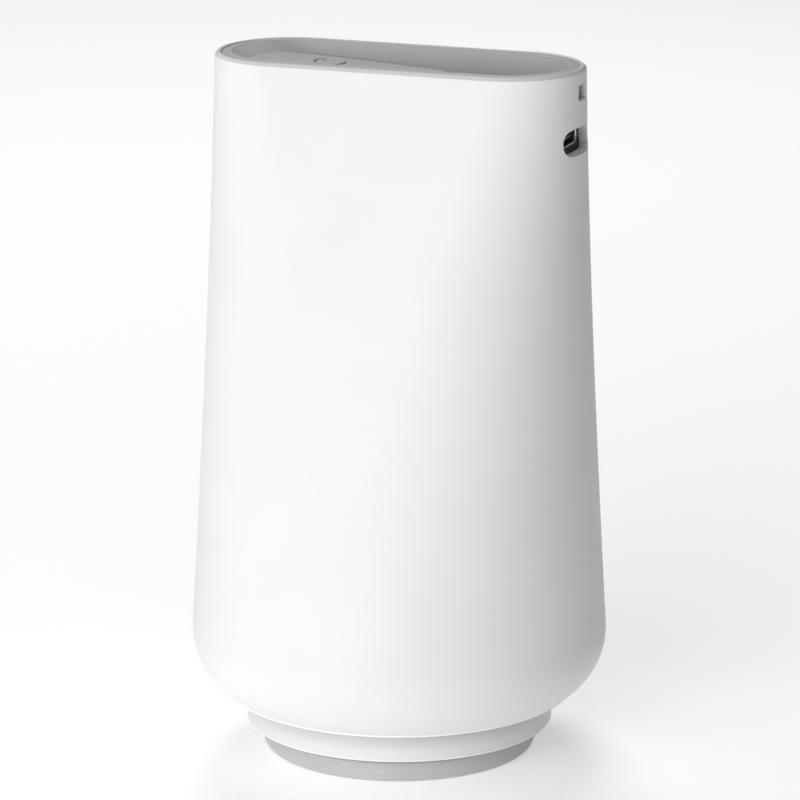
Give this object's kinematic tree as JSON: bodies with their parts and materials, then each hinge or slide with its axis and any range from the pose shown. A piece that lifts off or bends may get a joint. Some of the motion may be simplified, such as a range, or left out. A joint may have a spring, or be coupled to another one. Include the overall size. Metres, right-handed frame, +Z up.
{
  "type": "air purifier",
  "caption": "Small cordless air purifier: a tapering white housing, oval on top and round below, on a round filter base, with a push button in its scooped tray and a charging port.",
  "frame": {"origin": "on the table, at the middle of the foot", "axes": "+Z up, X along the long axis of the oval top with the charging port at +X, Y across it"},
  "size_m": [0.086, 0.086, 0.1452],
  "materials": {
    "white_plastic": "smooth satin white",
    "tray_plastic": "fine matte off-white",
    "pale_abs": "moulded, matte",
    "inner_plastic": "moulded, matte grey",
    "bezel_plastic": "fine matte grey",
    "grey_silicone": "matte silicone",
    "lens_plastic": "frosted",
    "steel": "plated",
    "spring_steel": "drawn wire",
    "winding_core": "laminations with copper windings",
    "filter_paper": "folded filter paper",
    "carbon": "bound carbon granules",
    "net": "fine woven net",
    "foam": "closed-cell foam",
    "circuit_board": "solder mask",
    "chip_plastic": "moulded black",
    "pouch": "laminated foil"
  },
  "bodies": {
    "base": {"foot_pad": "grey_silicone", "base_ring": "white_plastic", "inlet_grille": "white_plastic", "filter_seat": "pale_abs", "base_screw_1": "steel", "base_screw_2": "steel", "base_screw_3": "steel", "base_magnet_1": "steel", "base_magnet_2": "steel", "base_magnet_3": "steel", "filter_cap_bottom": "pale_abs", "filter_cap_top": "pale_abs", "filter_media": "filter_paper", "carbon_core": "carbon", "prefilter_sleeve": "net"},
    "housing": {"body_shell": "white_plastic", "top_tray": "tray_plastic", "outlet_grille": "tray_plastic", "outlet_duct": "inner_plastic", "seat_collar": "inner_plastic", "housing_magnet_1": "steel", "housing_magnet_2": "steel", "housing_magnet_3": "steel", "filter_gasket": "foam", "fan_chassis": "inner_plastic", "volute_case": "inner_plastic", "volute_cover": "inner_plastic", "fan_screw_1": "steel", "fan_screw_2": "steel", "fan_screw_3": "steel", "motor_base": "steel", "motor_stator": "winding_core", "bearing_lower": "steel", "bearing_upper": "steel", "tie_post_1": "steel", "tie_post_2": "steel", "tie_post_3": "steel", "battery_cell": "pouch", "battery_cradle": "inner_plastic", "main_board": "circuit_board", "mcu_chip": "chip_plastic", "power_inductor": "chip_plastic", "port_bezel": "bezel_plastic", "usb_shell": "steel", "usb_tongue": "chip_plastic", "usb_board": "circuit_board", "indicator_lens": "lens_plastic", "indicator_led": "pale_abs", "button_board": "circuit_board", "tact_switch": "steel", "button_spring": "spring_steel"},
    "rotor": {"impeller": "pale_abs", "rotor_can": "steel", "motor_shaft": "steel"},
    "button": {"power_button": "tray_plastic", "tact_plunger": "chip_plastic"}
  },
  "joints": [
    {"name": "housing_lift", "type": "slide", "parent": "base", "child": "housing", "axis": [0, 0, 1], "range_m": [0, 0.075]},
    {"name": "rotor_spin", "type": "hinge", "parent": "housing", "child": "rotor", "pos_m": [0, 0, 0.072], "axis": [0, 0, 1], "continuous": true},
    {"name": "button_press", "type": "slide", "parent": "housing", "child": "button", "axis": [0, 0, -1], "range_m": [0, 0.0005], "stiffness_N_per_m": 600, "springref_m": -0.0003, "deforming": ["button_spring"]}
  ]
}
